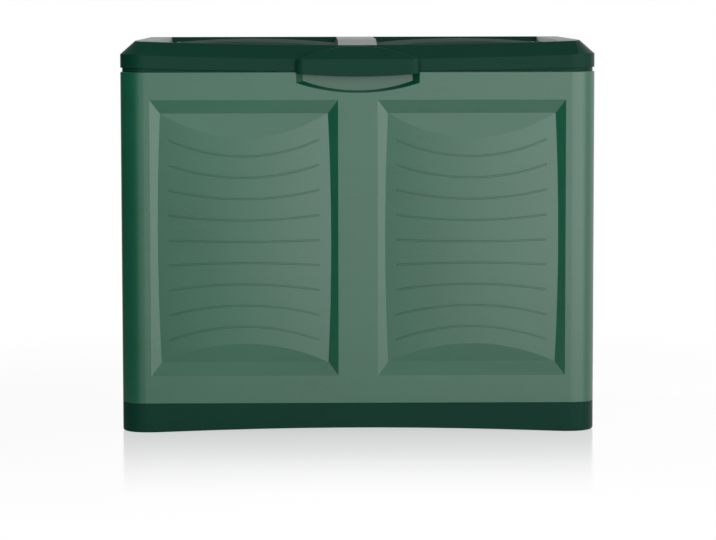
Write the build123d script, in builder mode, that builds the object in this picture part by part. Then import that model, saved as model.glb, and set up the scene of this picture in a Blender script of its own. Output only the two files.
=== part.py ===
from build123d import *
import os
from dataclasses import dataclass
from math import asin, cos, degrees, hypot, radians, sin, tan

# Outdoor storage box: a flat-pack plastic chest with a hinged lid.
# Millimetres, +Z up, front towards -Y, origin on the floor under the middle of the whole box.

# Overall sizes
body_width = 780.0
body_depth = 540.0
corner_radius = 40.0
corner_least = 2.0
base_height = 48.0
wall_height = 545.0
lid_height = 44.0

# Wall panels
wall = 3.5
seam_offset = 6.0
flange_depth = 20.0
neck_clearance = 1.1
neck_height = 19.0
shoulder_round = 1.5
seam_round = 1.0

# Framed fields of the walls
outer_stile = 49.5
centre_stile = 65.0
side_stile = 24.0
frame_rail = 45.7
field_depth = 9.0
field_side_bevel = 16.5
field_end_bevel = 22.0
field_crown_across = 5.5
field_crown_along = 3.0
field_low_lens = 31.0
field_high_lens = 40.0

# Fanned beads on the wall fields
bead_count = 9
bead_width = 2.2
bead_height = 1.2
bead_root = 1.5
bead_end_gap = 14.5
bead_pitch_ends = 41.2
bead_pitch_middle = 35.0
bead_middle_drop = 2.3
bead_fan_drop = 3.0

# Moulded pull on the lid, with its lower edge measured down from the shoulder of the walls
handle_half_width = 102.0
handle_proud = 15.0
handle_wall = 4.0
handle_room = 1.0
handle_corner = 13.0
handle_low_round = 5.0
handle_high_round = 7.0
handle_trim = 0.3
handle_drop_middle = 7.3
handle_drop_ends = 2.5
handle_side_gap = 2.0
handle_top_gap = 1.0

# Finger pocket in the front panel, with its floor measured down from the shoulder
pocket_end_inset = 1.0
pocket_depth = 14.0
pocket_drop_middle = 34.0
pocket_drop_ends = 18.0
pocket_side_draft = 11.0
pocket_floor_draft = 3.0

# Lid, with its lower edge measured up from the shoulder
lid_wall = 3.5
lid_gap_middle = 0.6
lid_gap_ends = 7.0
chamfer_run = 25.0
chamfer_rise = 22.0
front_bow = 8.0
facet_angle = 3.5
lip_lap = 0.5
lip_wall = 2.5
lip_gap = 0.8
lip_rise = 4.0
lid_rail = 30.0
lid_outer_stile = 62.0
lid_field_depth = 11.0
lid_side_bevel = 5.0
lid_end_bevel = 6.0
lid_crown_across = 7.5
lid_crown_along = 3.0
lid_lens = 40.0
lid_rib = 2.5
lid_rib_room = 7.0
lid_ribs_across = 3
lid_ribs_along = 3

# Base tray
base_wall = 4.0
base_round = 4.0
foot_length = 50.0
arch_rise = 7.5
base_rib = 3.0
base_rib_low = 14.0
base_ribs_across = 5
base_ribs_along = 3

# Lid hinges, with their axis measured up from the shoulder
hinge_inset = 160.0
hinge_proud = 5.0
hinge_rise = 3.5
knuckle_radius = 6.0
knuckle_room = 1.0
lid_knuckle = 40.0
back_knuckle = 22.0
knuckle_gap = 0.5
knuckle_web_height = 14.0
gusset_height = 34.0
pin_radius = 3.0
pin_running_clearance = 0.08
pin_fixed_clearance = 0.02
pin_head_lip = 1.8
pin_head_height = 2.0
stop_width = 36.0
stop_spacing = 14.5
opening_angle = 100.0
stop_clearance = 0.3

# Screws
screw_radius = 2.0
screw_length = 14.0
screw_head_radius = 4.0
screw_head_height = 2.6
screw_head_round = 1.8
screw_tip = 1.5
screw_clearance = 0.05
screw_inset = 11.0
screw_boss_wall = 3.5
screw_boss_depth = 12.0
corner_screws_each = 4
corner_screw_margin = 62.0
base_screws_long = 3
base_screws_short = 2
base_screw_margin = 140.0

# Cutting tools start this far outside the face that they cut
cut_lead = 2.0

# Heights worked out from the sizes
shoulder_height = base_height + wall_height
foot_top = base_height + wall
floor_low = base_height - base_wall
neck_top = shoulder_height + neck_height
lid_edge_middle = shoulder_height + lid_gap_middle
lid_edge_ends = shoulder_height + lid_gap_ends
total_height = lid_edge_ends + lid_height
crease_height = total_height - chamfer_rise
lid_rib_low = neck_top + lid_rib_room
handle_low = shoulder_height - handle_drop_middle - cut_lead
hinge_height = shoulder_height + hinge_rise
field_height = wall_height - 2 * frame_rail
field_middle_z = base_height + wall_height / 2

# Places in plan worked out from the sizes
centre_y = (handle_proud - hinge_proud) / 2
front_y = centre_y - body_depth / 2
back_y = centre_y + body_depth / 2
seam_inset = corner_radius + seam_offset
front_seam_y = front_y + seam_inset
back_seam_y = back_y - seam_inset
lip_inset = lid_wall - lip_lap
neck_inset = lip_inset + lip_wall + neck_clearance
front_field_width = (body_width - 2 * outer_stile - centre_stile) / 2
front_field_x = (front_field_width + centre_stile) / 2
lid_field_width = (body_width - 2 * lid_outer_stile - centre_stile) / 2
lid_field_x = (lid_field_width + centre_stile) / 2
side_field_width = body_depth - 2 * (seam_inset + side_stile)
pocket_half_width = handle_half_width - pocket_end_inset
hinge_y = back_y + hinge_proud - knuckle_radius
lid_station_half = lid_knuckle / 2
back_station_half = lid_station_half + knuckle_gap + back_knuckle
hinge_room_half = back_station_half + pin_head_height + knuckle_room
stop_offset = hinge_room_half + stop_spacing + stop_width / 2
hinge_middles = (hinge_inset - body_width / 2, body_width / 2 - hinge_inset)
chamfer_slant = hypot(chamfer_run, chamfer_rise)


@dataclass
class Field:
    """A sunk field with bevelled sides and a face crowned both ways, cut flat at its ends."""

    width: float
    height: float
    depth: float
    side_bevel: float
    end_bevel: float
    crown_across: float
    crown_along: float
    low_lens: float
    high_lens: float


def wall_field(width):
    """Field of a wall panel."""
    return Field(
        width, field_height, field_depth, field_side_bevel, field_end_bevel,
        field_crown_across, field_crown_along, field_low_lens, field_high_lens,
    )


front_field = wall_field(front_field_width)
side_field = wall_field(side_field_width)
lid_field = Field(
    lid_field_width, body_depth - 2 * lid_rail, lid_field_depth, lid_side_bevel, lid_end_bevel,
    lid_crown_across, lid_crown_along, lid_lens, lid_lens,
)


def crowned_block(field, grow):
    """Block behind a field's face: an upright arc turned about an upright axis, cut flat at both ends.

    The field lies in its own frame: X across, Y up, Z out of the face, with the origin at its middle.
    """
    half_width = field.width / 2 - field.side_bevel
    half_height = field.height / 2 - field.end_bevel
    crown = field.crown_across + field.crown_along
    turn_radius = (half_width**2 + field.crown_across**2) / (2 * field.crown_across)
    edge_z = -field.depth - grow
    axis_z = edge_z + crown - turn_radius
    swing = asin((half_width + field.depth) / turn_radius)
    arc_half = half_height + field.depth
    arc_end = turn_radius - field.crown_along * (arc_half / half_height) ** 2
    inner_radius = turn_radius - crown - 2 * field.depth

    def lens_slope(lens):
        """Slope of an end lens that meets the middle of the crown at a distance from the field's end."""
        share = (half_height - lens) / half_height
        return (field.crown_across + field.crown_along * (1 - share**2)) / lens

    low_slope = lens_slope(field.low_lens)
    high_slope = lens_slope(field.high_lens)
    peak = crown + field.depth
    with BuildPart() as block:
        with BuildSketch(Plane((0, 0, axis_z), x_dir=(0, 1, 0), z_dir=(cos(swing), 0, sin(swing)))):
            with BuildLine():
                arc = ThreePointArc((-arc_half, arc_end), (0, turn_radius), (arc_half, arc_end))
                Polyline(arc @ 1, (arc_half, inner_radius), (-arc_half, inner_radius), arc @ 0)
            make_face()
        revolve(axis=Axis((0, 0, axis_z), (0, 1, 0)), revolution_arc=degrees(2 * swing))
        with BuildSketch(Plane.YZ):
            with BuildLine():
                Polyline(
                    (-arc_half, edge_z - field.depth * low_slope),
                    (peak / low_slope - half_height, edge_z + peak),
                    (half_height - peak / high_slope, edge_z + peak),
                    (arc_half, edge_z - field.depth * high_slope),
                    (arc_half, edge_z - field.depth),
                    (-arc_half, edge_z - field.depth),
                    close=True,
                )
            make_face()
        extrude(amount=half_width + field.depth, both=True, mode=Mode.INTERSECT)
    return block.part


def sunk_field(field, grow, start):
    """Hollow of a field, grown outwards by a wall, from a height over its face down to the crowned face."""
    side_slope = field.side_bevel / field.depth
    end_slope = field.end_bevel / field.depth
    side_grow = grow * hypot(1, side_slope)
    end_grow = grow * hypot(1, end_slope)
    crowned = crowned_block(field, grow)
    with BuildPart() as hollow:
        for height in (start, -field.depth - grow - cut_lead):
            with BuildSketch(Plane.XY.offset(height)):
                Rectangle(
                    field.width + 2 * (side_grow + side_slope * height),
                    field.height + 2 * (end_grow + end_slope * height),
                )
        loft(ruled=True)
        add(crowned, mode=Mode.SUBTRACT)
    return hollow.part


def fanned_beads(field):
    """Thin raised beads that follow the crowned face, bowed down above its middle and up below it."""
    half_length = field.width / 2 - field.side_bevel - bead_end_gap
    half = bead_width / 2
    raised = crowned_block(field, -bead_height)
    sunk = crowned_block(field, bead_root)
    with BuildPart() as beads:
        with BuildSketch(Plane.XY.offset(-field.depth - bead_root)):
            for number in range(bead_count):
                step = number - (bead_count - 1) / 2
                end_y = step * bead_pitch_ends - bead_fan_drop
                middle_y = step * bead_pitch_middle - bead_fan_drop - bead_middle_drop
                with BuildLine():
                    upper = ThreePointArc(
                        (-half_length, end_y + half), (0, middle_y + half), (half_length, end_y + half)
                    )
                    lower = ThreePointArc(
                        (-half_length, end_y - half), (0, middle_y - half), (half_length, end_y - half)
                    )
                    Line(upper @ 0, lower @ 0)
                    Line(upper @ 1, lower @ 1)
                make_face()
        extrude(amount=field.depth + bead_root + bead_height)
        add(raised, mode=Mode.INTERSECT)
        add(sunk, mode=Mode.SUBTRACT)
    return beads.part


def plan(inset, mode=Mode.ADD):
    """Plan outline of the box, drawn in by an inset."""
    with Locations((0, centre_y)):
        RectangleRounded(
            body_width - 2 * inset,
            body_depth - 2 * inset,
            max(corner_radius - inset, corner_least),
            mode=mode,
        )


# Screw places, each a plane on the face that its head sits on
corner_levels = [
    base_height + corner_screw_margin
    + number * (wall_height - 2 * corner_screw_margin) / (corner_screws_each - 1)
    for number in range(corner_screws_each)
]
corner_xs = (screw_inset - body_width / 2, body_width / 2 - screw_inset)
front_corner_places = [
    Plane((x, front_seam_y + wall, level), x_dir=(1, 0, 0), z_dir=(0, 1, 0))
    for x in corner_xs
    for level in corner_levels
]
rear_corner_places = [
    Plane((x, back_seam_y - wall, level), x_dir=(1, 0, 0), z_dir=(0, -1, 0))
    for x in corner_xs
    for level in corner_levels
]
long_pitch = (body_width - 2 * base_screw_margin) / (base_screws_long - 1)
short_pitch = (body_depth - 2 * base_screw_margin) / (base_screws_short - 1)
long_xs = [base_screw_margin - body_width / 2 + number * long_pitch for number in range(base_screws_long)]
short_ys = [front_y + base_screw_margin + number * short_pitch for number in range(base_screws_short)]
base_places = [
    Plane((x, y, foot_top)) for y in (front_y + screw_inset, back_y - screw_inset) for x in long_xs
] + [Plane((x, y, foot_top)) for x in corner_xs for y in short_ys]


def screw_holes(places):
    """Holes for screws, through what their shanks pass."""
    with Locations(*[place.location for place in places]):
        Hole(screw_radius + screw_clearance, depth=screw_length + screw_clearance)


def screws_at(places):
    """Pan-head screws, one solid at each place."""
    with BuildPart() as screw:
        with BuildSketch():
            Circle(screw_head_radius)
        extrude(amount=screw_head_height)
        fillet(screw.edges().sort_by(Axis.Z)[-1], radius=screw_head_round)
        with BuildSketch():
            Circle(screw_radius)
        extrude(amount=-screw_length)
        chamfer(screw.edges().sort_by(Axis.Z)[0], length=screw_tip)
    with BuildPart() as group:
        with Locations(*[place.location for place in places]):
            add(screw.part)
    return group


# Upright walls as one ring, before it is parted at the seams
with BuildPart() as wall_ring:
    with BuildSketch(Plane.XY.offset(base_height)):
        plan(0)
    extrude(amount=wall_height)
    fillet(wall_ring.faces().sort_by(Axis.Z)[-1].edges(), radius=shoulder_round)
    fillet(wall_ring.faces().sort_by(Axis.Z)[0].edges(), radius=seam_round)
    with BuildSketch(Plane.XY.offset(foot_top)):
        plan(wall)
    extrude(amount=wall_height - 2 * wall, mode=Mode.SUBTRACT)
    with BuildSketch(Plane.XY.offset(base_height)):
        plan(flange_depth)
    extrude(amount=wall, mode=Mode.SUBTRACT)
    with BuildSketch(Plane.XY.offset(shoulder_height)):
        plan(neck_inset + wall)
    extrude(amount=-wall, mode=Mode.SUBTRACT)
    with BuildSketch(Plane.XY.offset(shoulder_height - wall)):
        plan(neck_inset)
        plan(neck_inset + wall, mode=Mode.SUBTRACT)
    extrude(amount=neck_height + wall)

front_seam = Plane.XZ.offset(-front_seam_y)
back_seam = Plane.XZ.offset(-back_seam_y)


def seam_flanges(seam, thickness):
    """Upright flanges inside the box on one side of a seam."""
    with BuildSketch(seam) as flanges:
        with Locations((0, field_middle_z)):
            with GridLocations(body_width - flange_depth, 0, 2, 1):
                Rectangle(flange_depth, wall_height)
    extrude(flanges.sketch, amount=thickness)


def pocket_outline(depth, grow, top):
    """Outline of the finger pocket at a depth behind the front face."""
    share = depth / pocket_depth
    half = pocket_half_width - pocket_side_draft * share + grow
    low_middle = shoulder_height - pocket_drop_middle + pocket_floor_draft * share - grow
    low_ends = shoulder_height - pocket_drop_ends + pocket_floor_draft * share - grow
    with BuildSketch(Plane.XZ.offset(-front_y - depth)) as outline:
        with BuildLine():
            floor = ThreePointArc((-half, low_ends), (0, low_middle), (half, low_ends))
            Polyline(floor @ 1, (half, top), (-half, top), floor @ 0)
        make_face()
    return outline.sketch


def pocket_form(grow, start, top):
    """Finger pocket, grown by a wall, from a depth behind the front face."""
    outlines = [pocket_outline(depth, grow, top) for depth in (start, pocket_depth + grow)]
    with BuildPart() as form:
        loft(outlines, ruled=True)
    return form.part


# Front panel with both front corners
front_places = [
    Plane((side * front_field_x, front_y, field_middle_z), x_dir=(1, 0, 0), z_dir=(0, -1, 0)).location
    for side in (-1, 1)
]
front_boss = sunk_field(front_field, wall, -wall / 2)
front_cut = sunk_field(front_field, 0, cut_lead)
front_beads = fanned_beads(front_field)
pocket_boss = pocket_form(wall, wall / 2, shoulder_height)
pocket_neck = pocket_form(wall, neck_inset, neck_top)
pocket_cut = pocket_form(0, -cut_lead, neck_top + cut_lead)
with BuildPart() as front_panel:
    add(wall_ring.part)
    split(bisect_by=front_seam, keep=Keep.TOP)
    seam_flanges(front_seam, wall)
    add([pocket_boss, pocket_neck])
    add(pocket_cut, mode=Mode.SUBTRACT)
    with Locations(*front_places):
        add(front_boss)
        add(front_cut, mode=Mode.SUBTRACT)
        add(front_beads)
    screw_holes(front_corner_places + base_places)
front_panel.part.label = "front_panel"

# Back panel with both rear corners, the body's hinge knuckles and the lid stops
back_places = [
    Plane((side * front_field_x, back_y, field_middle_z), x_dir=(-1, 0, 0), z_dir=(0, 1, 0)).location
    for side in (-1, 1)
]


def hinge_bar(radius, low, high, mode=Mode.ADD):
    """Round bar on the hinge axis between two places along it."""
    with BuildSketch(Plane.YZ.offset(low)) as section:
        with Locations((hinge_y, hinge_height)):
            Circle(radius)
    extrude(section.sketch, amount=high - low, mode=mode)


def back_knuckle_at(low):
    """Knuckle of the back panel with the gusset that carries it."""
    hinge_bar(knuckle_radius, low, low + back_knuckle)
    with BuildSketch(Plane.YZ.offset(low)) as gusset:
        with BuildLine():
            Polyline(
                (back_y - wall / 2, hinge_height - gusset_height),
                (hinge_y + knuckle_radius, hinge_height - gusset_height / 2),
                (hinge_y + knuckle_radius, hinge_height),
                (hinge_y - knuckle_radius, hinge_height),
                (hinge_y - knuckle_radius, shoulder_height - wall),
                (back_y - wall / 2, shoulder_height - wall),
                close=True,
            )
        make_face()
    extrude(gusset.sketch, amount=back_knuckle)


def lid_stop(middle):
    """Lug that the lid's rear face comes to rest on when it is open."""
    lean = radians(opening_angle - 90)
    inner_y = back_y + stop_clearance
    outer_y = back_y + hinge_proud
    seat_z = hinge_height - (back_y - hinge_y + stop_clearance) / cos(lean)
    root_y = back_y - wall / 2
    with BuildSketch(Plane.YZ.offset(middle - stop_width / 2)) as lug:
        with BuildLine():
            Polyline(
                (inner_y, seat_z - (inner_y - hinge_y) * tan(lean)),
                (outer_y, seat_z - (outer_y - hinge_y) * tan(lean)),
                (outer_y, hinge_height - gusset_height / 2),
                (root_y, hinge_height - gusset_height),
                (root_y, shoulder_height - wall / 2),
                (inner_y, shoulder_height - wall / 2),
                close=True,
            )
        make_face()
    extrude(lug.sketch, amount=stop_width)


with BuildPart() as back_panel:
    add(wall_ring.part)
    split(bisect_by=back_seam, keep=Keep.BOTTOM)
    seam_flanges(back_seam, -wall)
    with Locations(*back_places):
        add(front_boss)
        add(front_cut, mode=Mode.SUBTRACT)
        add(front_beads)
    screw_holes(rear_corner_places + base_places)
    for middle in hinge_middles:
        hinge_bar(
            knuckle_radius + knuckle_room, middle - hinge_room_half, middle + hinge_room_half, Mode.SUBTRACT
        )
        back_knuckle_at(middle - back_station_half)
        back_knuckle_at(middle + back_station_half - back_knuckle)
        hinge_bar(
            pin_radius + pin_fixed_clearance,
            middle - back_station_half,
            middle + back_station_half,
            Mode.SUBTRACT,
        )
        lid_stop(middle - stop_offset)
        lid_stop(middle + stop_offset)
back_panel.part.label = "back_panel"

# Side panels, between the front and back panels
side_boss = sunk_field(side_field, wall, -wall / 2)
side_cut = sunk_field(side_field, 0, cut_lead)
side_beads = fanned_beads(side_field)
side_panels = {}
for name, side in (("left_side_panel", -1), ("right_side_panel", 1)):
    side_place = Plane(
        (side * body_width / 2, centre_y, field_middle_z), x_dir=(0, side, 0), z_dir=(side, 0, 0)
    ).location
    with BuildPart() as side_panel:
        add(wall_ring.part)
        seam_flanges(front_seam, -wall)
        seam_flanges(back_seam, wall)
        split(bisect_by=front_seam, keep=Keep.BOTTOM)
        split(bisect_by=back_seam, keep=Keep.TOP)
        split(bisect_by=Plane.YZ, keep=Keep.TOP if side > 0 else Keep.BOTTOM)
        with Locations(side_place):
            add(side_boss)
            add(side_cut, mode=Mode.SUBTRACT)
            add(side_beads)
        screw_holes(front_corner_places + rear_corner_places + base_places)
    side_panel.part.label = name
    side_panels[name] = side_panel.part

# Base tray
arch_half_x = body_width / 2 - foot_length
arch_half_y = body_depth / 2 - foot_length
inner_width = body_width - base_wall
inner_depth = body_depth - base_wall


def arch_cut(plane, middle, half, through):
    """Shallow arch cut from the lower edge of two opposite skirts."""
    with BuildSketch(plane) as arch:
        with BuildLine():
            ThreePointArc((middle - half, 0), (middle, arch_rise), (middle + half, 0))
            Line((middle - half, 0), (middle + half, 0))
        make_face()
    extrude(arch.sketch, amount=through, both=True, mode=Mode.SUBTRACT)


with BuildPart() as base_tray:
    with BuildSketch():
        plan(0)
    extrude(amount=base_height)
    fillet(base_tray.faces().sort_by(Axis.Z)[0].edges(), radius=base_round)
    fillet(base_tray.faces().sort_by(Axis.Z)[-1].edges(), radius=seam_round)
    with BuildSketch(Plane.XY.offset(-cut_lead)):
        plan(base_wall)
    extrude(amount=floor_low + cut_lead, mode=Mode.SUBTRACT)
    with BuildSketch(Plane.XY.offset(base_rib_low)):
        with GridLocations(body_width / (base_ribs_across + 1), 0, base_ribs_across, 1):
            with Locations((0, centre_y)):
                Rectangle(base_rib, inner_depth)
        with Locations((0, centre_y)):
            with GridLocations(0, body_depth / (base_ribs_along + 1), 1, base_ribs_along):
                Rectangle(inner_width, base_rib)
    extrude(amount=floor_low - base_rib_low + base_wall / 2)
    with BuildSketch():
        with Locations((0, centre_y)):
            with GridLocations(body_width - foot_length, body_depth - foot_length, 2, 2):
                Rectangle(foot_length, foot_length)
        plan(base_wall / 2 + base_round / 2, mode=Mode.INTERSECT)
    extrude(amount=base_wall)
    with BuildSketch(Plane.XY.offset(floor_low - screw_boss_depth)):
        for place in base_places:
            with Locations((place.origin.X, place.origin.Y)):
                Circle(screw_radius + screw_boss_wall)
    extrude(amount=screw_boss_depth + base_wall / 2)
    arch_cut(Plane.XZ.offset(-centre_y), 0, arch_half_x, body_depth)
    arch_cut(Plane.YZ, centre_y, arch_half_y, body_width)
    screw_holes(base_places)
base_tray.part.label = "base_tray"

# Lid
lid_places = [Location((side * lid_field_x, centre_y, total_height)) for side in (-1, 1)]


def bowed_cut(start_y, ends, middle, direction):
    """Cut away what lies above a bowed line that is carried backwards along a slope."""
    top = 2 * total_height
    half = body_width / 2 + cut_lead
    with BuildSketch(Plane.XZ.offset(-start_y)) as region:
        with BuildLine():
            bow = ThreePointArc((-half, ends), (0, middle), (half, ends))
            Polyline(bow @ 1, (half, top), (-half, top), bow @ 0)
        make_face()
    extrude(region.sketch, amount=body_depth / 2, dir=direction, mode=Mode.SUBTRACT)


def lid_form(inset, low):
    """The lid's outer form, drawn in by an inset: skirt, bevelled edges, bowed front and sunk fields."""
    crease = crease_height - inset * (chamfer_slant - chamfer_rise) / chamfer_run
    top_inset = chamfer_run + inset * (chamfer_slant - chamfer_run) / chamfer_rise
    front_crease = crease_height - inset * chamfer_slant / chamfer_run
    facet_rise = tan(radians(facet_angle))
    hollow = sunk_field(lid_field, inset, cut_lead)
    lead_y = front_y - cut_lead
    lead_crease = front_crease - cut_lead * chamfer_rise / chamfer_run
    with BuildPart() as form:
        with BuildSketch(Plane.XY.offset(low)):
            plan(inset)
        extrude(amount=crease - low)
        with BuildSketch(Plane.XY.offset(crease)):
            plan(inset)
        with BuildSketch(Plane.XY.offset(total_height - inset)):
            plan(top_inset)
        loft(ruled=True)
        bowed_cut(lead_y, lead_crease, lead_crease - front_bow, (0, chamfer_run, chamfer_rise))
        facet_top = total_height - inset
        bowed_cut(front_y + chamfer_run, facet_top, facet_top - front_bow, (0, 1, facet_rise))
        with Locations(*lid_places):
            add(hollow, mode=Mode.SUBTRACT)
    return form.part


def handle_form(inset, low_drop):
    """The moulded pull, drawn in by an inset: rounded in plan, arched from the front, bevelled on top."""
    half = handle_half_width - inset
    reach = handle_proud + chamfer_run
    low_ends = shoulder_height - handle_drop_ends - low_drop
    low_middle = shoulder_height - handle_drop_middle - low_drop
    side_top = crease_height - front_bow - handle_side_gap - inset
    arch_top = total_height - front_bow - handle_top_gap - inset
    front = front_y - handle_proud + inset
    with BuildPart() as form:
        with BuildSketch(Plane.XY.offset(low_middle)):
            with BuildLine():
                FilletPolyline(
                    (-half, front + reach), (-half, front), (half, front), (half, front + reach),
                    radius=handle_corner - inset,
                )
                Line((-half, front + reach), (half, front + reach))
            make_face()
        extrude(amount=arch_top - low_middle)
        with BuildSketch(Plane.XZ.offset(-front_y)) as outline:
            with BuildLine():
                end = half - handle_trim
                lower = ThreePointArc((-end, low_ends), (0, low_middle), (end, low_ends))
                upper = ThreePointArc((-end, side_top), (0, arch_top), (end, side_top))
                Line(lower @ 0, upper @ 0)
                Line(lower @ 1, upper @ 1)
            make_face()
            low_round = max(handle_low_round - inset, corner_least)
            high_round = max(handle_high_round - inset, corner_least)
            fillet(outline.vertices().group_by(Axis.Y)[0], radius=low_round)
            fillet(outline.vertices().group_by(Axis.Y)[-1], radius=high_round)
        extrude(amount=reach, both=True, mode=Mode.INTERSECT)
        split(
            bisect_by=Plane(
                (0, front_y - handle_proud, crease_height - front_bow - inset * chamfer_slant / chamfer_run),
                x_dir=(1, 0, 0),
                z_dir=(0, -chamfer_rise, chamfer_run),
            ),
            keep=Keep.BOTTOM,
        )
    return form.part


skirt_low = lid_edge_middle - cut_lead
lid_outer = lid_form(0, skirt_low)
lid_inner = lid_form(lid_wall, skirt_low - cut_lead)
handle_outer = handle_form(0, 0)
handle_inner = handle_form(handle_wall, cut_lead)
with BuildPart() as lid_ribs:
    with BuildSketch(Plane.XY.offset(lid_rib_low)):
        with Locations((0, centre_y)):
            with GridLocations(body_width / (lid_ribs_across + 1), 0, lid_ribs_across, 1):
                Rectangle(lid_rib, body_depth)
            with GridLocations(0, body_depth / (lid_ribs_along + 1), 1, lid_ribs_along):
                Rectangle(body_width, lid_rib)
    extrude(amount=total_height - lid_rib_low)
    add(lid_inner, mode=Mode.INTERSECT)
with BuildPart() as lid_lip:
    with BuildSketch(Plane.XY.offset(shoulder_height + lip_gap)):
        plan(lip_inset)
        plan(lip_inset + lip_wall, mode=Mode.SUBTRACT)
        with Locations((0, back_y)):
            Rectangle(body_width, 2 * seam_inset, mode=Mode.SUBTRACT)
    extrude(amount=lid_gap_ends + lip_rise - lip_gap)
    add(handle_inner, mode=Mode.SUBTRACT)
with BuildPart() as lid:
    add(lid_outer)
    add(handle_outer)
    with BuildSketch(Plane.XZ.offset(handle_room - front_y)):
        half = body_width / 2 + cut_lead
        with BuildLine():
            edge = ThreePointArc((-half, lid_edge_ends), (0, lid_edge_middle), (half, lid_edge_ends))
            Polyline(edge @ 1, (half, handle_low), (-half, handle_low), edge @ 0)
        make_face()
    extrude(amount=-handle_room - corner_radius, mode=Mode.SUBTRACT)
    with BuildSketch(Plane.XY.offset(handle_low)):
        with Locations((0, centre_y + corner_radius / 2)):
            Rectangle(body_width, body_depth - corner_radius)
    extrude(amount=lid_edge_ends - handle_low, mode=Mode.SUBTRACT)
    add(lid_inner, mode=Mode.SUBTRACT)
    add(handle_inner, mode=Mode.SUBTRACT)
    add(lid_lip.part)
    add(lid_ribs.part)
    for middle in hinge_middles:
        hinge_bar(
            knuckle_radius + knuckle_room, middle - hinge_room_half, middle + hinge_room_half, Mode.SUBTRACT
        )
        hinge_bar(knuckle_radius, middle - lid_station_half, middle + lid_station_half)
        with BuildSketch(Plane.YZ.offset(middle - lid_station_half)):
            with Locations((back_y - lid_wall / 2, hinge_height + knuckle_web_height / 2)):
                Rectangle(lid_wall, knuckle_web_height)
        extrude(amount=lid_knuckle)
        hinge_bar(
            pin_radius + pin_running_clearance,
            middle - lid_station_half,
            middle + lid_station_half,
            Mode.SUBTRACT,
        )
lid.part.label = "lid"

# Hinge pins, headed at their outer ends
pins = {}
for name, middle, side in zip(("left_hinge_pin", "right_hinge_pin"), hinge_middles, (-1, 1)):
    head_x = middle + side * back_station_half
    with BuildPart() as pin:
        hinge_bar(pin_radius, middle - back_station_half, middle + back_station_half)
        hinge_bar(pin_radius + pin_head_lip, head_x, head_x + side * pin_head_height)
    pin.part.label = name
    pins[name] = pin.part

# Screws
front_corner_screws = screws_at(front_corner_places)
front_corner_screws.part.label = "front_corner_screws"
rear_corner_screws = screws_at(rear_corner_places)
rear_corner_screws.part.label = "rear_corner_screws"
base_screws = screws_at(base_places)
base_screws.part.label = "base_screws"

os.makedirs("parts", exist_ok=True)
export_step(base_tray.part, "parts/base_tray.step")
export_step(front_panel.part, "parts/front_panel.step")
export_step(back_panel.part, "parts/back_panel.step")
for name, panel in side_panels.items():
    export_step(panel, f"parts/{name}.step")
export_step(lid.part, "parts/lid.step")
for name, pin_part in pins.items():
    export_step(pin_part, f"parts/{name}.step")
export_step(front_corner_screws.part, "parts/front_corner_screws.step")
export_step(rear_corner_screws.part, "parts/rear_corner_screws.step")
export_step(base_screws.part, "parts/base_screws.step")
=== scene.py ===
"""Finishes, cross-head screws and studio for the outdoor storage box."""

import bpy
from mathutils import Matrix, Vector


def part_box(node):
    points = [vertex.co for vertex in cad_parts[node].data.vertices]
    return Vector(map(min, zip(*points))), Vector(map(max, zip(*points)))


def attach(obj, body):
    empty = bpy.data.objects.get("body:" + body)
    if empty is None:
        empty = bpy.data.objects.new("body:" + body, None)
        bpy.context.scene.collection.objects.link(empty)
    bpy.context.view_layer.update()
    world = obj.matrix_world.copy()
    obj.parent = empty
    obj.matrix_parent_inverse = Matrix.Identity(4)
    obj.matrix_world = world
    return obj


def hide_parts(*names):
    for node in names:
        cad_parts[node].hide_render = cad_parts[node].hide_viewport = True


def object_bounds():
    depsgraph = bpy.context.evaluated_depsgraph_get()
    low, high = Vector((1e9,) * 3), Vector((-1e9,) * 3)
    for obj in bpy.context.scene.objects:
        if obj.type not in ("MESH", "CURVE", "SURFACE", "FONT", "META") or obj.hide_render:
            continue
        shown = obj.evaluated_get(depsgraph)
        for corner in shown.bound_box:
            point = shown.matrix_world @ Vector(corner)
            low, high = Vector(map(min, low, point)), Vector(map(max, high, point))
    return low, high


bl_info = {
    "name": "Outdoor storage box",
    "version": (1, 0, 0),
    "blender": (4, 5, 0),
    "location": "View3D > Sidebar > Storage box",
    "description": "Dresses the packed storage box in plastic and steel and sets it in a studio",
    "category": "Object",
}

from math import radians

import bmesh
import bpy
from bpy.props import FloatProperty, FloatVectorProperty, IntProperty, PointerProperty
from bpy.types import Operator, Panel, PropertyGroup
from mathutils import Matrix, Vector

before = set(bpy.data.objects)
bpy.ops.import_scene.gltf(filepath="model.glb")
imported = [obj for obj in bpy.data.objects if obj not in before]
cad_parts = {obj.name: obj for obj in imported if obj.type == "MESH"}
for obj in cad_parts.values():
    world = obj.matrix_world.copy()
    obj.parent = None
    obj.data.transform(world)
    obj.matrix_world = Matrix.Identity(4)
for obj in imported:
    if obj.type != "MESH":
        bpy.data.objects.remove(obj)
cad_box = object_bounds()

MM = 0.001
WALL_NODES = ("front_panel", "back_panel", "left_side_panel", "right_side_panel")
DARK_NODES = ("base_tray", "lid")
PIN_NODES = ("left_hinge_pin", "right_hinge_pin")
WHITE = (1, 1, 1, 1)

# Meshes
TINY = 1e-5
LEVEL = 0.99
SCREW_TURN = radians(34)
HEAD_SIDES = 32
HEAD_ROUND_STEPS = 5
HEAD_ROUND_PROFILE = 0.6
TIP_TAPER = (0.3, 0.3, 1.0)
RECESS_TAPER = (0.45, 0.7, 1.0)
SMOOTH_ANGLE = radians(35)
FLOOR_SIDES = 96

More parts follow.
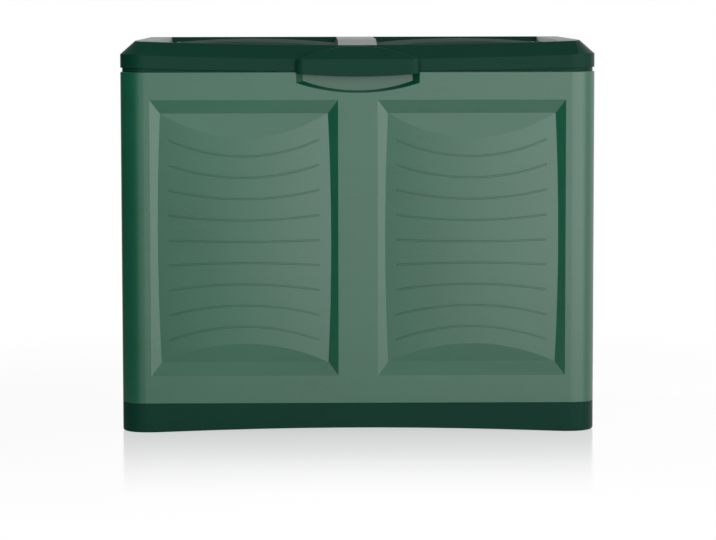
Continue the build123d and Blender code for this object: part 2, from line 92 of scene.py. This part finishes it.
# Plastic: the noises, and how much of each one shows
CLOUD_SCALE = 7.0
CLOUD_SHARE = 0.6
FLOW_STRETCH = (3.0, 3.0, 34.0)
FLOW_SHARE = 0.4
PALE_MARKS = (0.3, 0.75)
MARK_ROUGHNESS = 0.1
GRAIN_ROUGHNESS = 0.12
GRAIN_SHARE = 0.75
FINE_SHARE = 0.25
FINE_TIMES = 4
GRAIN_BUMP = 0.6
EDGE_SAMPLES = 4

# Matt texture in the lid's fields: how far below the top it reaches, and over what length its edges fade
TEXTURE_REACH = 25 * MM
TEXTURE_FOOT = 30 * MM
TEXTURE_FADE = MM

# Steel
STREAK_STRETCH = (0.12, 1.0, 1.0)
STREAK_BUMP = 0.25
STREAK_DEPTH = 0.02 * MM
STREAK_ROUGHNESS = 0.1
PLATING_SCALE = 90.0
PLATING_ROUGHNESS = 0.18
DULL_SHARE = 0.8

# Light by its direction: each pair is where a band begins and where it is full
LIGHT_FRONT = (0.6, 0.0)
LIGHT_LEFT = (-0.68, -0.42)
LIGHT_RIGHT = (-0.4, 0.3)
LIGHT_FAR_RIGHT = (0.87, 1.0)
LIGHT_LOW = (0.6, 0.3)
LIGHT_OVERHEAD = (0.75, 1.0)
LIGHT_BEHIND = (0.4, 0.95)
BEHIND_UP = (-0.02, 0.05)
BEHIND_ACROSS = (-0.5, -0.1)
GLOOM = 0.03
LEFT_LEVEL = 0.3
FAR_RIGHT_LOSS = 0.65
LOW_LEVEL = 2.05
LOW_REAR_SHARE = 0.38
LOW_FRONT_SHARE = 0.62
HIGH_LEVEL = 0.12
HIGH_RIGHT_LEVEL = 0.78
OVERHEAD_LOSS = 0.6

# Floor by its place: each pair is where a band begins and where it is full
MIRROR_FRONT = (-0.95, -0.2)
MIRROR_REAR = (0.1, -0.25)
MIRROR_ROUND = (1.7, 1.2)
MIRROR_SHARE = 0.34
MIRROR_ROUGHNESS = 0.12
SHADOW_ROUND = (1.5, 0.5)
SHADOW_SHARE = 0.06
# Painted shade: the floor's matt colour is darker at the left and behind, standing in for the dim side of the
# studio in the bounce light, the reflections and the faint floor shade
PAINTED_SHADE_ACROSS = (-0.9, 0.1)
PAINTED_SHADE_ALONG = (1.6, 0.2)
FLOOR_PAINTED_SHADE = (0.1, 0.1, 0.1, 1)
FLOOR_PALE = (0.95, 0.95, 0.95, 1)
BOUNCE_MIRROR_SHARE = 0.5


class Sock:
    """An output of a node, whose arithmetic adds Math nodes."""

    def __init__(self, tree, output):
        self.tree = tree
        self.output = output

    def math(self, operation, first, second):
        return self.tree.node("ShaderNodeMath", {"operation": operation}, {0: first, 1: second})

    def __add__(self, other):
        return self.math("ADD", self, other)

    def __radd__(self, other):
        return self.math("ADD", other, self)

    def __sub__(self, other):
        return self.math("SUBTRACT", self, other)

    def __rsub__(self, other):
        return self.math("SUBTRACT", other, self)

    def __mul__(self, other):
        return self.math("MULTIPLY", self, other)

    def __rmul__(self, other):
        return self.math("MULTIPLY", other, self)

    def __pow__(self, other):
        return self.math("POWER", self, other)

    def larger(self, other):
        return self.math("MAXIMUM", self, other)


class ShaderTree:
    """The nodes of one material or world."""

    def __init__(self, owner):
        owner.use_nodes = True
        self.nodes = owner.node_tree.nodes
        self.links = owner.node_tree.links
        self.nodes.clear()

    def node(self, kind, settings=None, inputs=None, output=0):
        """Add a node: its settings come first, then the values or links of its sockets."""
        made = self.nodes.new(kind)
        for name, value in (settings or {}).items():
            setattr(made, name, value)
        for key, value in (inputs or {}).items():
            if isinstance(value, Sock):
                self.links.new(value.output, made.inputs[key])
            else:
                made.inputs[key].default_value = value
        return Sock(self, made.outputs[output]) if made.outputs else None

    def place(self):
        """Object coordinates, in metres."""
        return self.node("ShaderNodeTexCoord", output="Object")

    def split(self, vector, axes="XYZ"):
        """The parts of a vector along some axes."""
        return [self.node("ShaderNodeSeparateXYZ", None, {"Vector": vector}, axis) for axis in axes]

    def noise(self, vector, scale, detail=2.0, roughness=0.5):
        """Even noise about 0.5."""
        return self.node(
            "ShaderNodeTexNoise",
            {"noise_dimensions": "3D"},
            {"Vector": vector, "Scale": scale, "Detail": detail, "Roughness": roughness},
        )

    def stretched(self, vector, scale):
        """Coordinates scaled by a different amount each way."""
        return self.node("ShaderNodeMapping", None, {"Vector": vector, "Scale": scale})

    def blend(self, share, first, second):
        """Mix of two colours."""
        return self.node("ShaderNodeMix", {"data_type": "RGBA"}, {0: share, 6: first, 7: second}, 2)

    def mix(self, share, first, second):
        """Mix of two shaders."""
        return self.node("ShaderNodeMixShader", None, {0: share, 1: first, 2: second})

    def ramp(self, value, low, high):
        """Smooth step from 0 at one value to 1 at another."""
        return self.node(
            "ShaderNodeMapRange",
            {"interpolation_type": "SMOOTHSTEP"},
            {"Value": value, "From Min": low, "From Max": high},
        )


def colour(name, description, value):
    """Colour property in linear light."""
    return FloatVectorProperty(
        name=name, description=description, default=value, size=3, subtype="COLOR", min=0.0, max=1.0
    )


def length(name, description, value):
    """Length property in metres."""
    return FloatProperty(name=name, description=description, default=value, unit="LENGTH", precision=5)


def place(name, description, value):
    """Place property in metres."""
    return FloatVectorProperty(name=name, description=description, default=value, unit="LENGTH")


def angle(name, description, degrees):
    """Angle property, given in degrees."""
    return FloatProperty(name=name, description=description, default=radians(degrees), subtype="ANGLE")


def share(name, description, value):
    """Property without a unit."""
    return FloatProperty(name=name, description=description, default=value)


def count(name, description, value):
    """Whole number property."""
    return IntProperty(name=name, description=description, default=value)


class PlasticLook:
    """What the two moulded plastics share."""

    paler: share("Paler", "Share by which the plastic is paler where it flowed last", 0.12)
    grain: length("Grain", "Pitch of the eroded mould grain", 1.1 * MM)
    grain_depth: length("Grain depth", "Height of the mould grain", 0.03 * MM)
    edge: length("Edge", "Radius of the moulded edges", 1.2 * MM)


class WallLook(PlasticLook, PropertyGroup):
    """Finish of the light green walls."""

    tone: colour("Tone", "Colour of the walls", (0.003, 0.078, 0.039))
    roughness: share("Roughness", "Mean roughness of the moulded skin", 0.3)
    shine: share("Shine", "Strength of the skin's reflection", 1.0)


class DarkLook(PlasticLook, PropertyGroup):
    """Finish of the dark green lid and base."""

    tone: colour("Tone", "Colour of the lid and the base", (0.003, 0.031, 0.019))
    roughness: share("Roughness", "Mean roughness of the moulded skin", 0.3)
    shine: share("Shine", "Strength of the skin's reflection", 0.09)
    field_roughness: share("Field roughness", "Roughness of the matt texture in the lid's fields", 0.75)
    field_inner: length("Field inner edge", "Distance of the texture from the middle", 32.5 * MM)
    field_outer: length("Field outer edge", "Distance of the texture's far sides from the middle", 303.0 * MM)
    field_half_depth: length("Field half depth", "Half the texture's length, front to back", 240.0 * MM)
    field_sink: length("Field sink", "Depth at which the matt texture begins", 0.8 * MM)


class SteelLook(PropertyGroup):
    """Finish of the zinc plated steel."""

    tone: colour("Tone", "Colour of the plating", (0.62, 0.63, 0.63))
    roughness: share("Roughness", "Mean roughness of the plating", 0.32)
    streak: length("Streak", "Pitch of the drawing marks", 0.25 * MM)


class ScrewSizes(PropertyGroup):
    """Sizes of the cross-head screws."""

    head_radius: length("Head radius", "Radius of the pan head", 4.0 * MM)
    head_height: length("Head height", "Height of the pan head", 2.6 * MM)
    head_round: length("Head round", "Round over the rim of the head", 1.7 * MM)
    shank_radius: length("Shank radius", "Radius of the shank", 2.0 * MM)
    shank_length: length("Shank length", "Length under the head", 14.0 * MM)
    tip_length: length("Tip length", "Length of the tapered tip", 1.5 * MM)
    recess_reach: length("Recess reach", "Length of each slot of the cross recess", 4.6 * MM)
    recess_width: length("Recess width", "Width of each slot of the cross recess", 1.0 * MM)
    recess_depth: length("Recess depth", "Depth of the cross recess", 1.5 * MM)
    corner_count: count("Corner count", "Screws in each corner", 4)
    base_count: count("Base count", "Screws along each long side of the base", 3)
    base_margin: length("Base margin", "Distance of the base screws from the corners", 140.0 * MM)
    rim: length("Rim", "Distance from the heads of the base screws to the outside of the box", 7.0 * MM)


class StudioSizes(PropertyGroup):
    """Camera, lamps and floor."""

    eye: place("Camera", "Place of the camera", (-0.0599, -5.1428, 0.7101))
    pitch: angle("Pitch", "Camera's tilt below level", 5.174)
    yaw: angle("Yaw", "Camera's turn to the left", -0.7)
    roll: angle("Roll", "Camera's turn about its line of sight", -0.1)
    focal_pixels: share("Focal length", "Focal length in pixels of the picture", 2984.0)
    picture_width: share("Picture width", "Width of the picture in pixels", 716.0)
    floor_radius: length("Floor radius", "Radius of the pale floor", 1.8)
    lamp_size: length("Lamp size", "Side of each soft lamp", 1.6)
    key_place: place("Key lamp", "Place of the key lamp", (-0.6, -2.8, 1.2))
    key_power: share("Key power", "Power of the key lamp in watts", 32.0)
    fill_place: place("Fill lamp", "Place of the fill lamp", (-2.6, 1.6, 2.0))
    fill_power: share("Fill power", "Power of the fill lamp in watts", 60.0)


class StorageBoxLooks(PropertyGroup):
    """All that a user would change."""

    wall: PointerProperty(type=WallLook)
    dark: PointerProperty(type=DarkLook)
    steel: PointerProperty(type=SteelLook)
    screws: PointerProperty(type=ScrewSizes)
    studio: PointerProperty(type=StudioSizes)


def looks():
    """The settings of the scene at hand."""
    return bpy.context.scene.storage_box


def sunk_share(tree, position, look):
    """1 on the matt texture of the lid's fields and 0 elsewhere."""
    low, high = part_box("lid")
    middle = (low.y + high.y) / 2
    x, y, z = tree.split(position)
    aside = (x**2) ** 0.5
    away = ((y - middle) ** 2) ** 0.5
    past_inner = tree.ramp(aside, look.field_inner - TEXTURE_FADE, look.field_inner)
    short_of_outer = tree.ramp(aside, look.field_outer + TEXTURE_FADE, look.field_outer)
    within_depth = tree.ramp(away, look.field_half_depth + TEXTURE_FADE, look.field_half_depth)
    sunk = tree.ramp(z, high.z, high.z - look.field_sink)
    not_too_low = tree.ramp(z, high.z - TEXTURE_FOOT, high.z - TEXTURE_REACH)
    return past_inner * short_of_outer * within_depth * sunk * not_too_low


def plastic(name, look, matt_share=None):
    """Moulded plastic: fine mould grain, faint flow marks, softened edges and a matt texture in places."""
    material = bpy.data.materials.new(name)
    tree = ShaderTree(material)
    position = tree.place()
    cloud = tree.noise(position, CLOUD_SCALE, detail=3.0)
    flow = tree.noise(tree.stretched(position, FLOW_STRETCH), 1.0)
    grain = tree.noise(position, 1 / look.grain, roughness=0.6)
    fine = tree.noise(position, FINE_TIMES / look.grain, detail=1.0)
    mark = CLOUD_SHARE * cloud + FLOW_SHARE * flow
    pale = [channel * (1 + look.paler) for channel in look.tone]
    base = tree.blend(tree.ramp(mark, *PALE_MARKS), (*look.tone, 1), (*pale, 1))
    rough = look.roughness + MARK_ROUGHNESS * (mark - 0.5) + GRAIN_ROUGHNESS * (grain - 0.5)
    if matt_share:
        rough = rough + matt_share(tree, position, look) * (look.field_roughness - look.roughness)
    edge = tree.node("ShaderNodeBevel", {"samples": EDGE_SAMPLES}, {"Radius": look.edge})
    normal = tree.node(
        "ShaderNodeBump",
        None,
        {
            "Strength": GRAIN_BUMP,
            "Distance": look.grain_depth,
            "Height": GRAIN_SHARE * grain + FINE_SHARE * fine,
            "Normal": edge,
        },
    )
    skin = tree.node(
        "ShaderNodeBsdfPrincipled",
        None,
        {"Base Color": base, "Roughness": rough, "Specular IOR Level": look.shine, "Normal": normal},
    )
    tree.node("ShaderNodeOutputMaterial", None, {"Surface": skin})
    return material


def plated_steel(name, look):
    """Zinc plated steel with faint drawing marks."""
    material = bpy.data.materials.new(name)
    tree = ShaderTree(material)
    position = tree.place()
    streak = tree.noise(tree.stretched(position, STREAK_STRETCH), 1 / look.streak)
    cloud = tree.noise(position, PLATING_SCALE, detail=3.0)
    dull = [DULL_SHARE * channel for channel in look.tone]
    base = tree.blend(cloud, (*dull, 1), (*look.tone, 1))
    rough = look.roughness + PLATING_ROUGHNESS * (cloud - 0.5) + STREAK_ROUGHNESS * (streak - 0.5)
    normal = tree.node(
        "ShaderNodeBump", None, {"Strength": STREAK_BUMP, "Distance": STREAK_DEPTH, "Height": streak}
    )
    skin = tree.node(
        "ShaderNodeBsdfPrincipled",
        None,
        {"Base Color": base, "Metallic": 1.0, "Roughness": rough, "Normal": normal},
    )
    tree.node("ShaderNodeOutputMaterial", None, {"Surface": skin})
    return material


def dress(piece, material):
    """Give a piece one material all over."""
    if not piece.material_slots:
        piece.data.materials.append(material)
    for slot in piece.material_slots:
        slot.material = material


def dress_nodes(nodes, material):
    """Give the pieces of some CAD nodes one material."""
    for node in nodes:
        dress(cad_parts[node], material)


class STORAGEBOX_OT_walls(Operator):
    """Give the four walls their light green plastic"""

    bl_idname = "storage_box.walls"
    bl_label = "Finish walls"

    def execute(self, context):
        dress_nodes(WALL_NODES, plastic("wall_green_plastic", looks().wall))
        return {"FINISHED"}


class STORAGEBOX_OT_lid_and_base(Operator):
    """Give the lid and the base tray their dark green plastic"""

    bl_idname = "storage_box.lid_and_base"
    bl_label = "Finish lid and base"

    def execute(self, context):
        dress_nodes(DARK_NODES, plastic("dark_green_plastic", looks().dark, sunk_share))
        return {"FINISHED"}


class STORAGEBOX_OT_pins(Operator):
    """Give the hinge pins their plated steel"""

    bl_idname = "storage_box.pins"
    bl_label = "Finish hinge pins"

    def execute(self, context):
        dress_nodes(PIN_NODES, plated_steel("plated_steel", looks().steel))
        return {"FINISHED"}


def only(piece):
    """Select one object and make it active."""
    bpy.ops.object.select_all(action="DESELECT")
    piece.select_set(True)
    bpy.context.view_layer.objects.active = piece


def in_edit(piece):
    """Open one object in edit mode with nothing selected, and give its mesh in work."""
    only(piece)
    bpy.ops.object.mode_set(mode="EDIT")
    bpy.ops.mesh.select_mode(type="FACE")
    bpy.ops.mesh.select_all(action="DESELECT")
    return bmesh.from_edit_mesh(piece.data)


def pick_face(piece, mesh, height):
    """Select the level face at a height."""
    for face in mesh.faces:
        middle = face.calc_center_median()
        if abs(middle.z - height) < TINY and abs(face.normal.z) > LEVEL:
            face.select_set(True)
    bmesh.update_edit_mesh(piece.data)


def draw_out(rise):
    """Extrude the selected face up or down."""
    bpy.ops.mesh.extrude_region_move(TRANSFORM_OT_translate={"value": (0, 0, rise)})


def cross_slot(sizes, turn):
    """Cutter for one slot of the cross recess, narrower at its foot."""
    bpy.ops.object.select_all(action="DESELECT")
    bpy.ops.mesh.primitive_cube_add(size=1.0, location=(0, 0, sizes.head_height))
    cutter = bpy.context.active_object
    cutter.scale = (sizes.recess_reach, sizes.recess_width, 2 * sizes.recess_depth)
    bpy.ops.object.transform_apply(location=True, rotation=True, scale=True)
    mesh = in_edit(cutter)
    pick_face(cutter, mesh, sizes.head_height - sizes.recess_depth)
    bpy.ops.transform.resize(value=RECESS_TAPER)
    bpy.ops.object.mode_set(mode="OBJECT")
    cutter.rotation_euler.z = turn
    bpy.ops.object.transform_apply(location=True, rotation=True, scale=True)
    return cutter


def cross_head_screw(sizes):
    """One screw, with its head standing on the origin and its shank below."""
    bpy.ops.object.select_all(action="DESELECT")
    bpy.ops.mesh.primitive_cylinder_add(
        vertices=HEAD_SIDES,
        radius=sizes.head_radius,
        depth=sizes.head_height,
        location=(0, 0, sizes.head_height / 2),
    )
    screw = bpy.context.active_object
    bpy.ops.object.transform_apply(location=True, rotation=True, scale=True)
    mesh = in_edit(screw)
    pick_face(screw, mesh, 0.0)
    neck = sizes.shank_radius / sizes.head_radius
    bpy.ops.mesh.extrude_region_move()
    bpy.ops.transform.resize(value=(neck, neck, 1.0))
    draw_out(sizes.tip_length - sizes.shank_length)
    draw_out(-sizes.tip_length)
    bpy.ops.transform.resize(value=TIP_TAPER)
    bpy.ops.mesh.select_all(action="DESELECT")
    mesh = bmesh.from_edit_mesh(screw.data)
    pick_face(screw, mesh, sizes.head_height)
    bpy.ops.mesh.bevel(
        offset=sizes.head_round, segments=HEAD_ROUND_STEPS, affect="EDGES", profile=HEAD_ROUND_PROFILE
    )
    bpy.ops.object.mode_set(mode="OBJECT")
    for turn in (0.0, radians(90)):
        cutter = cross_slot(sizes, turn)
        only(screw)
        recess = screw.modifiers.new("recess", "BOOLEAN")
        recess.operation = "DIFFERENCE"
        recess.solver = "EXACT"
        recess.object = cutter
        bpy.ops.object.modifier_apply(modifier=recess.name)
        bpy.data.objects.remove(cutter)
    only(screw)
    bpy.ops.object.shade_smooth_by_angle(angle=SMOOTH_ANGLE)
    return screw


def evenly(low, high, number):
    """Places at even steps from one end to the other."""
    return [low + (high - low) * step / (number - 1) for step in range(number)]


def screw_group(node, pattern, turn, places, material):
    """Copy the screw to its places, head the given way, as one piece that stands for a node."""
    copies = []
    for number, spot in enumerate(places):
        copy = pattern.copy()
        copy.data = pattern.data.copy()
        bpy.context.scene.collection.objects.link(copy)
        own_turn = Matrix.Rotation(number * SCREW_TURN, 4, "Z")
        copy.data.transform(Matrix.Translation(spot) @ turn @ own_turn)
        copies.append(copy)
    bpy.ops.object.select_all(action="DESELECT")
    for copy in copies:
        copy.select_set(True)
    bpy.context.view_layer.objects.active = copies[0]
    bpy.ops.object.join()
    group = bpy.context.active_object
    group.name = node + "_crossed"
    dress(group, material)
    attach(group, "box")
    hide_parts(node)


class STORAGEBOX_OT_screws(Operator):
    """Model the cross-head screws inside the corners and along the foot of the walls"""

    bl_idname = "storage_box.screws"
    bl_label = "Make screws"

    def execute(self, context):
        sizes = looks().screws
        material = plated_steel("plated_screws", looks().steel)
        pattern = cross_head_screw(sizes)
        radius = sizes.head_radius
        for node, side in (("front_corner_screws", 1), ("rear_corner_screws", -1)):
            low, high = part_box(node)
            seat = high.y - sizes.head_height if side > 0 else low.y + sizes.head_height
            places = [
                (x, seat, z)
                for x in (low.x + radius, high.x - radius)
                for z in evenly(low.z + radius, high.z - radius, sizes.corner_count)
            ]
            turn = Matrix.Rotation(radians(-90 * side), 4, "X")
            screw_group(node, pattern, turn, places, material)
        low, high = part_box("base_screws")
        seat = high.z - sizes.head_height
        inset = sizes.base_margin - sizes.rim
        places = [
            (x, y, seat)
            for y in (low.y + radius, high.y - radius)
            for x in evenly(low.x + inset, high.x - inset, sizes.base_count)
        ]
        places += [
            (x, y, seat)
            for x in (low.x + radius, high.x - radius)
            for y in (low.y + inset, high.y - inset)
        ]
        screw_group("base_screws", pattern, Matrix.Identity(4), places, material)
        bpy.data.objects.remove(pattern)
        return {"FINISHED"}


def soft_lamp(name, spot, size, power, target):
    """Square soft lamp, aimed at a point, that neither the camera nor a reflection shows."""
    data = bpy.data.lights.new(name, "AREA")
    data.shape = "SQUARE"
    data.size = size
    data.energy = power
    lamp = bpy.data.objects.new(name, data)
    bpy.context.scene.collection.objects.link(lamp)
    lamp.location = spot
    lamp.visible_camera = False
    lamp.visible_glossy = False
    lamp.rotation_euler = (Vector(target) - lamp.location).to_track_quat("-Z", "Y").to_euler()


def studio_world():
    """White to the camera; for light, bright at the right and behind, and dim at the left."""
    world = bpy.data.worlds.new("studio")
    bpy.context.scene.world = world
    tree = ShaderTree(world)
    across, along, up = tree.split(tree.node("ShaderNodeTexCoord", output="Generated"))
    front = tree.ramp(along, *LIGHT_FRONT)
    left = LEFT_LEVEL * tree.ramp(across, *LIGHT_LEFT)
    far_right = tree.ramp(across, *LIGHT_FAR_RIGHT)
    right = tree.ramp(across, *LIGHT_RIGHT).larger(left) * (1 - FAR_RIGHT_LOSS * far_right)
    low = tree.ramp(up, *LIGHT_LOW)
    overhead = tree.ramp(up, *LIGHT_OVERHEAD)
    behind = tree.ramp(along, *LIGHT_BEHIND) * tree.ramp(up, *BEHIND_UP) * tree.ramp(across, *BEHIND_ACROSS)
    low_light = LOW_LEVEL * right * low * (LOW_REAR_SHARE + LOW_FRONT_SHARE * front)
    high_light = (HIGH_LEVEL + HIGH_RIGHT_LEVEL * right) * (1 - low) * (1 - OVERHEAD_LOSS * overhead)
    light = (GLOOM + low_light + high_light).larger(behind)
    seen = tree.node("ShaderNodeLightPath", output="Is Camera Ray")
    glow = tree.node("ShaderNodeBackground", None, {"Color": WHITE, "Strength": light * (1 - seen) + seen})
    tree.node("ShaderNodeOutputWorld", None, {"Surface": glow})


def floor_finish():
    """White floor with a faint shadow round the box and a faint reflection just in front of it; its matt
    colour is painted darker at the left and behind, as painted shade.
    """
    material = bpy.data.materials.new("pale_floor")
    tree = ShaderTree(material)
    across, along = tree.split(tree.place(), "XY")
    reach = (across**2 + along**2) ** 0.5
    near = tree.ramp(along, *MIRROR_FRONT) * tree.ramp(along, *MIRROR_REAR) * tree.ramp(reach, *MIRROR_ROUND)
    round_box = tree.ramp(reach, *SHADOW_ROUND)
    # Painted shade mask: 0 at the left and behind, where the matt colour is the dark painted shade, and 1
    # where it is pale
    pale = tree.ramp(across, *PAINTED_SHADE_ACROSS) * tree.ramp(along, *PAINTED_SHADE_ALONG)
    seen = tree.node("ShaderNodeLightPath", output="Is Camera Ray")
    matt = tree.node("ShaderNodeBsdfDiffuse", None, {"Color": tree.blend(pale, FLOOR_PAINTED_SHADE, FLOOR_PALE)})
    mirror = tree.node("ShaderNodeBsdfGlossy", None, {"Color": WHITE, "Roughness": MIRROR_ROUGHNESS})
    white = tree.node("ShaderNodeEmission", None, {"Color": WHITE, "Strength": 1.0})
    gloss = tree.mix(near * MIRROR_SHARE, white, mirror)
    shown = tree.mix(SHADOW_SHARE * round_box, gloss, matt)
    bounce = tree.mix(BOUNCE_MIRROR_SHARE, matt, mirror)
    tree.node("ShaderNodeOutputMaterial", None, {"Surface": tree.mix(seen, bounce, shown)})
    return material


class STORAGEBOX_OT_stage(Operator):
    """Set the floor, the lamps, the world and the camera"""

    bl_idname = "storage_box.stage"
    bl_label = "Set the studio"

    def execute(self, context):
        sizes = looks().studio
        scene = context.scene
        bpy.ops.object.select_all(action="DESELECT")
        bpy.ops.mesh.primitive_circle_add(vertices=FLOOR_SIDES, radius=sizes.floor_radius, fill_type="NGON")
        floor = context.active_object
        floor.name = "floor"
        dress(floor, floor_finish())
        studio_world()
        middle = (cad_box[0] + cad_box[1]) / 2
        soft_lamp("key_lamp", sizes.key_place, sizes.lamp_size, sizes.key_power, middle)
        soft_lamp("fill_lamp", sizes.fill_place, sizes.lamp_size, sizes.fill_power, middle)
        data = bpy.data.cameras.new("camera")
        data.sensor_fit = "HORIZONTAL"
        data.lens = data.sensor_width * sizes.focal_pixels / sizes.picture_width
        camera = bpy.data.objects.new("camera", data)
        scene.collection.objects.link(camera)
        camera.location = sizes.eye
        heading = Matrix.Rotation(sizes.yaw, 3, "Z") @ Matrix.Rotation(radians(90) - sizes.pitch, 3, "X")
        camera.rotation_euler = (heading @ Matrix.Rotation(sizes.roll, 3, "Z")).to_euler()
        scene.camera = camera
        scene.view_settings.view_transform = "Standard"
        return {"FINISHED"}


class STORAGEBOX_PT_panel(Panel):
    """Buttons in the order in which the box is dressed"""

    bl_idname = "STORAGEBOX_PT_panel"
    bl_label = "Storage box"
    bl_space_type = "VIEW_3D"
    bl_region_type = "UI"
    bl_category = "Storage box"

    def draw(self, context):
        for operator in OPERATORS:
            self.layout.operator(operator.bl_idname)


OPERATORS = (
    STORAGEBOX_OT_walls,
    STORAGEBOX_OT_lid_and_base,
    STORAGEBOX_OT_pins,
    STORAGEBOX_OT_screws,
    STORAGEBOX_OT_stage,
)
GROUPS = (WallLook, DarkLook, SteelLook, ScrewSizes, StudioSizes, StorageBoxLooks)
CLASSES = (*GROUPS, *OPERATORS, STORAGEBOX_PT_panel)


def register():
    for cls in CLASSES:
        bpy.utils.register_class(cls)
    bpy.types.Scene.storage_box = PointerProperty(type=StorageBoxLooks)


def unregister():
    del bpy.types.Scene.storage_box
    for cls in reversed(CLASSES):
        bpy.utils.unregister_class(cls)


def main():
    register()
    bpy.ops.storage_box.walls()
    bpy.ops.storage_box.lid_and_base()
    bpy.ops.storage_box.pins()
    bpy.ops.storage_box.screws()
    bpy.ops.storage_box.stage()


if __name__ == "__main__":
    main()
